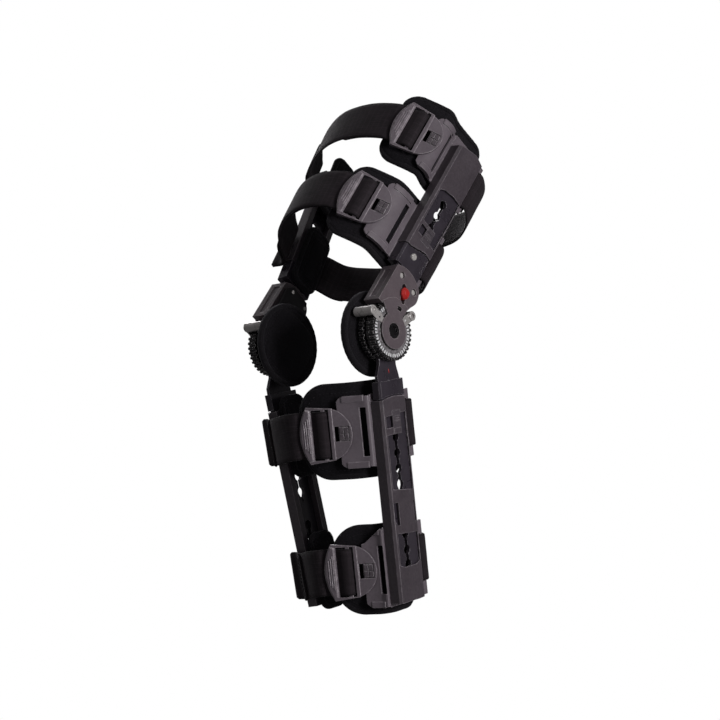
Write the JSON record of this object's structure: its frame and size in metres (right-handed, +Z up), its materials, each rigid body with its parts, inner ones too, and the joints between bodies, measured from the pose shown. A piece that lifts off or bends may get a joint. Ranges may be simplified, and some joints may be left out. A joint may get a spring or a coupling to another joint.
{
  "type": "hinged knee brace",
  "caption": "Post-operative knee brace: two hinged telescoping uprights with range stops and hinge locks, foam pads, and straps closed by quick-release buckles.",
  "frame": {"origin": "on the knee hinge axis, midway between the two hinges", "axes": "+X lateral (towards the side that carries the buckles), -Y anterior, +Y posterior, +Z up; the calf half hangs along -Z and the thigh half is bent back 46 degrees"},
  "size_m": [0.2179, 0.2974, 0.5522],
  "materials": {
    "shell_plastic": "moulded satin dark grey",
    "cuff_plastic": "moulded satin dark grey",
    "buckle_plastic": "moulded satin dark grey",
    "tab_plastic": "moulded dark grey",
    "button_plastic": "moulded satin dark grey",
    "housing_plastic": "moulded satin dark grey",
    "bar_metal": "dark powder coat",
    "plate_metal": "dark powder coat",
    "dial_metal": "black coated",
    "scale_print": "silver white scale with dark ticks",
    "rivet_steel": "brushed",
    "bolt_steel": "black oxide",
    "stop_metal": "satin",
    "lock_red": "red",
    "strap_webbing": "black loop-faced webbing",
    "pad_fabric": "black brushed fabric over foam"
  },
  "bodies": {
    "calf_frame": {"lat_inner_dial": "dial_metal", "lat_lower_arm": "bar_metal", "lat_outer_dial": "dial_metal", "lat_scale_ring": "scale_print", "med_inner_dial": "dial_metal", "med_lower_arm": "bar_metal", "med_outer_dial": "dial_metal", "med_scale_ring": "scale_print", "pivot_bolts": "bolt_steel"},
    "thigh_frame": {"housing_rivets": "rivet_steel", "lat_condyle_pad": "pad_fabric", "lat_inner_plate": "plate_metal", "lat_upper_bar": "bar_metal", "lat_upper_housing": "housing_plastic", "med_condyle_pad": "pad_fabric", "med_inner_plate": "plate_metal", "med_upper_bar": "bar_metal", "med_upper_housing": "housing_plastic"},
    "lat_extension_stop_arm": {"lat_extension_stop": "stop_metal"},
    "lat_flexion_stop_arm": {"lat_flexion_stop": "stop_metal"},
    "lat_lock_slider": {"lat_hinge_lock": "lock_red"},
    "med_extension_stop_arm": {"med_extension_stop": "stop_metal"},
    "med_flexion_stop_arm": {"med_flexion_stop": "stop_metal"},
    "med_lock_slider": {"med_hinge_lock": "lock_red"},
    "lat_calf_slider": {"lat_calf_shell": "shell_plastic", "calf_lower_buckle": "buckle_plastic", "calf_lower_cuff": "cuff_plastic", "calf_lower_front_strap": "strap_webbing", "calf_lower_rear_strap": "strap_webbing", "calf_upper_buckle": "buckle_plastic", "calf_upper_cuff": "cuff_plastic", "calf_upper_front_strap": "strap_webbing", "calf_upper_rear_strap": "strap_webbing", "lat_calf_upper_pad": "pad_fabric", "lat_calf_lower_pad": "pad_fabric"},
    "med_calf_slider": {"med_calf_shell": "shell_plastic", "med_calf_upper_pad": "pad_fabric", "med_calf_lower_pad": "pad_fabric"},
    "lat_thigh_slider": {"lat_thigh_shell": "shell_plastic", "thigh_lower_buckle": "buckle_plastic", "thigh_lower_cuff": "cuff_plastic", "thigh_lower_front_strap": "strap_webbing", "thigh_lower_rear_strap": "strap_webbing", "thigh_upper_buckle": "buckle_plastic", "thigh_upper_cuff": "cuff_plastic", "thigh_upper_front_strap": "strap_webbing", "thigh_upper_rear_strap": "strap_webbing", "lat_thigh_upper_pad": "pad_fabric", "lat_thigh_lower_pad": "pad_fabric"},
    "med_thigh_slider": {"med_thigh_shell": "shell_plastic", "med_thigh_upper_pad": "pad_fabric", "med_thigh_lower_pad": "pad_fabric"},
    "lat_calf_release": {"lat_calf_button": "button_plastic"},
    "lat_thigh_release": {"lat_thigh_button": "button_plastic"},
    "med_calf_release": {"med_calf_button": "button_plastic"},
    "med_thigh_release": {"med_thigh_button": "button_plastic"},
    "calf_upper_release_tab": {"calf_upper_tab": "tab_plastic"},
    "calf_lower_release_tab": {"calf_lower_tab": "tab_plastic"},
    "thigh_lower_release_tab": {"thigh_lower_tab": "tab_plastic"},
    "thigh_upper_release_tab": {"thigh_upper_tab": "tab_plastic"}
  },
  "joints": [
    {"name": "knee_flexion", "type": "hinge", "parent": "thigh_frame", "child": "calf_frame", "pos_m": [0, 0, 0], "axis": [1, 0, 0], "range_deg": [-46, 74]},
    {"name": "lat_flexion_stop_set", "type": "hinge", "parent": "thigh_frame", "child": "lat_flexion_stop_arm", "pos_m": [0, 0, 0], "axis": [1, 0, 0], "range_deg": [-78, 0]},
    {"name": "lat_extension_stop_set", "type": "hinge", "parent": "thigh_frame", "child": "lat_extension_stop_arm", "pos_m": [0, 0, 0], "axis": [1, 0, 0], "range_deg": [-12, 36]},
    {"name": "lat_lock_slide", "type": "slide", "parent": "thigh_frame", "child": "lat_lock_slider", "axis": [0, 0.4226, 0.9063], "range_m": [-0.004, 0.004]},
    {"name": "med_flexion_stop_set", "type": "hinge", "parent": "thigh_frame", "child": "med_flexion_stop_arm", "pos_m": [0, 0, 0], "axis": [1, 0, 0], "range_deg": [-78, 0]},
    {"name": "med_extension_stop_set", "type": "hinge", "parent": "thigh_frame", "child": "med_extension_stop_arm", "pos_m": [0, 0, 0], "axis": [1, 0, 0], "range_deg": [-12, 36]},
    {"name": "med_lock_slide", "type": "slide", "parent": "thigh_frame", "child": "med_lock_slider", "axis": [0, 0.4226, 0.9063], "range_m": [-0.004, 0.004]},
    {"name": "lat_calf_length", "type": "slide", "parent": "calf_frame", "child": "lat_calf_slider", "axis": [-0.0698, 0, -0.9976], "range_m": [0, 0.04]},
    {"name": "lat_thigh_length", "type": "slide", "parent": "thigh_frame", "child": "lat_thigh_slider", "axis": [0.1132, 0.7147, 0.6902], "range_m": [0, 0.04]},
    {"name": "lat_calf_release_press", "type": "slide", "parent": "lat_calf_slider", "child": "lat_calf_release", "axis": [-0.9976, 0, 0.0698], "range_m": [0, 0.0012]},
    {"name": "lat_thigh_release_press", "type": "slide", "parent": "lat_thigh_slider", "child": "lat_thigh_release", "axis": [-0.9936, 0.0814, 0.0786], "range_m": [0, 0.0012]},
    {"name": "med_calf_length", "type": "slide", "parent": "calf_frame", "child": "med_calf_slider", "axis": [0.0698, 0, -0.9976], "range_m": [0, 0.04]},
    {"name": "med_thigh_length", "type": "slide", "parent": "thigh_frame", "child": "med_thigh_slider", "axis": [-0.1132, 0.7147, 0.6902], "range_m": [0, 0.04]},
    {"name": "med_calf_release_press", "type": "slide", "parent": "med_calf_slider", "child": "med_calf_release", "axis": [0.9976, 0, 0.0698], "range_m": [0, 0.0012]},
    {"name": "med_thigh_release_press", "type": "slide", "parent": "med_thigh_slider", "child": "med_thigh_release", "axis": [0.9936, 0.0814, 0.0786], "range_m": [0, 0.0012]},
    {"name": "calf_upper_tab_press", "type": "hinge", "parent": "lat_calf_slider", "child": "calf_upper_release_tab", "pos_m": [0.03558, -0.04613, -0.09875], "axis": [0.0698, 0, 0.9976], "range_deg": [0, 4]},
    {"name": "calf_lower_tab_press", "type": "hinge", "parent": "lat_calf_slider", "child": "calf_lower_release_tab", "pos_m": [0.03357, -0.03873, -0.24697], "axis": [0.0698, 0, 0.9976], "range_deg": [0, 4]},
    {"name": "thigh_lower_tab_press", "type": "hinge", "parent": "lat_thigh_slider", "child": "thigh_lower_release_tab", "pos_m": [0.07044, 0.03166, 0.13382], "axis": [0.1132, 0.7147, 0.6902], "range_deg": [0, 4]},
    {"name": "thigh_upper_tab_press", "type": "hinge", "parent": "lat_thigh_slider", "child": "thigh_upper_release_tab", "pos_m": [0.08999, 0.11307, 0.19989], "axis": [0.1132, 0.7147, 0.6902], "range_deg": [0, 4]}
  ],
  "couplings": [
    {"joint": "med_calf_length", "follows": "lat_calf_length", "ratio": 1},
    {"joint": "med_thigh_length", "follows": "lat_thigh_length", "ratio": 1}
  ]
}
